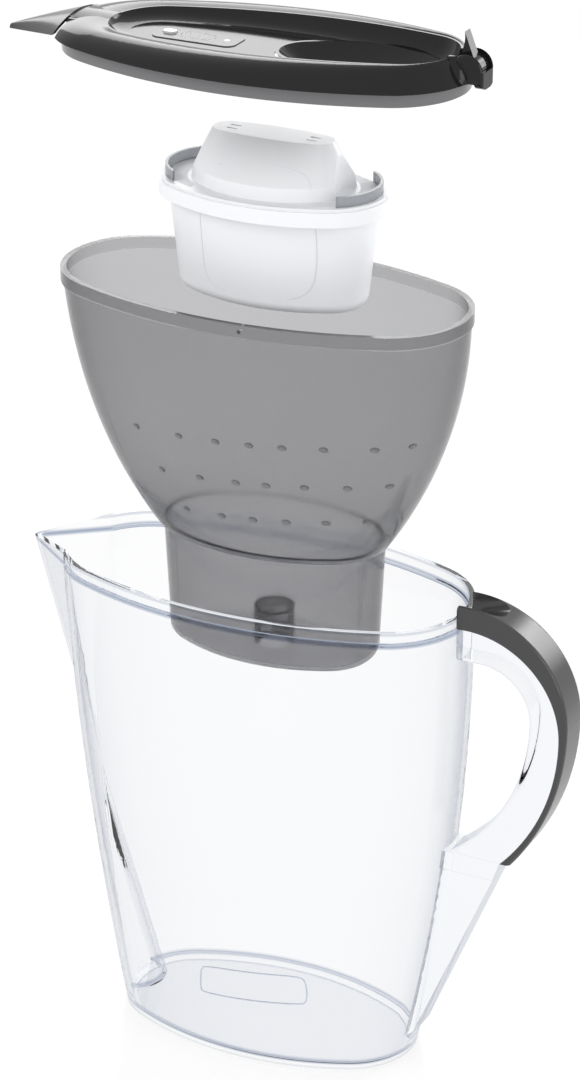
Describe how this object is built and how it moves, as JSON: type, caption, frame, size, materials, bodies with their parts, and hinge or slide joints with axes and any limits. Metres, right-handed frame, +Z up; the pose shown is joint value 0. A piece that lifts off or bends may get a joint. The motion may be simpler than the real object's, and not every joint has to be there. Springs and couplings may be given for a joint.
{
  "type": "water filter pitcher",
  "caption": "Oval clear water filter jug with spout and loop handle, shown taken apart: smoke funnel, white filter cartridge and dark lid with filling flap and change indicator.",
  "frame": {"origin": "on the jug's middle plane under its rim's centre, at the foot's rest plane", "axes": "+Z up, +X towards the handle, spout at -X"},
  "size_m": [0.2907, 0.109, 0.5257],
  "materials": {
    "clear": "clear, polished",
    "smoke": "smoke grey, see-through",
    "smoke_dark": "dark smoke grey, see-through",
    "dark_gloss": "dark grey, glossy",
    "black_gloss": "black, glossy",
    "white": "white, satin",
    "frosted": "frosted, see-through",
    "screen": "fine white mesh",
    "granules": "dark granules",
    "grey_plastic": "mid grey, satin",
    "window": "clear, polished",
    "display": "grey-green, with dark bars",
    "lamp": "pale, see-through",
    "board": "circuit board green",
    "steel": "brushed"
  },
  "bodies": {
    "pitcher": {"pitcher_body": "clear", "handle": "clear", "handle_grip": "dark_gloss"},
    "funnel": {"funnel": "smoke"},
    "cartridge": {"cartridge_cup": "white", "cartridge_cap": "white", "finger_rings": "frosted", "inlet_screens": "screen", "outlet_screen": "screen", "filter_media": "granules"},
    "lid": {"lid_cover": "black_gloss", "lid_skirt": "smoke_dark", "pour_flap_pin": "steel", "fill_flap_pin": "steel", "indicator_case": "grey_plastic", "indicator_bezel": "grey_plastic", "indicator_window": "window", "indicator_display": "display", "indicator_lamp": "lamp", "indicator_board": "board", "indicator_cell": "steel", "indicator_back": "grey_plastic"},
    "pour_flap": {"pour_flap": "smoke_dark"},
    "fill_flap": {"fill_flap": "black_gloss"},
    "indicator_button": {"indicator_button": "white"}
  },
  "joints": [
    {"name": "funnel_lift", "type": "slide", "parent": "pitcher", "child": "funnel", "axis": [0, 0, 1], "range_m": [-0.1448, 0]},
    {"name": "lid_lift", "type": "slide", "parent": "funnel", "child": "lid", "axis": [0, 0, 1], "range_m": [-0.1124, 0]},
    {"name": "cartridge_lift", "type": "slide", "parent": "funnel", "child": "cartridge", "axis": [0, 0, 1], "range_m": [-0.1626, 0]},
    {"name": "fill_flap_hinge", "type": "hinge", "parent": "lid", "child": "fill_flap", "pos_m": [0.1014, 0, 0.5087], "axis": [0, 1, 0], "range_deg": [0, 55]},
    {"name": "pour_flap_hinge", "type": "hinge", "parent": "lid", "child": "pour_flap", "pos_m": [-0.09315, 0, 0.5074], "axis": [0, 1, 0], "range_deg": [0, 40]},
    {"name": "indicator_button_press", "type": "slide", "parent": "lid", "child": "indicator_button", "axis": [0, 0, 1], "range_m": [-0.0008, 0], "stiffness_N_per_m": 800, "springref_m": 0.0012}
  ],
  "couplings": [
    {"joint": "cartridge_lift", "follows": "lid_lift", "ratio": 1.4466}
  ]
}
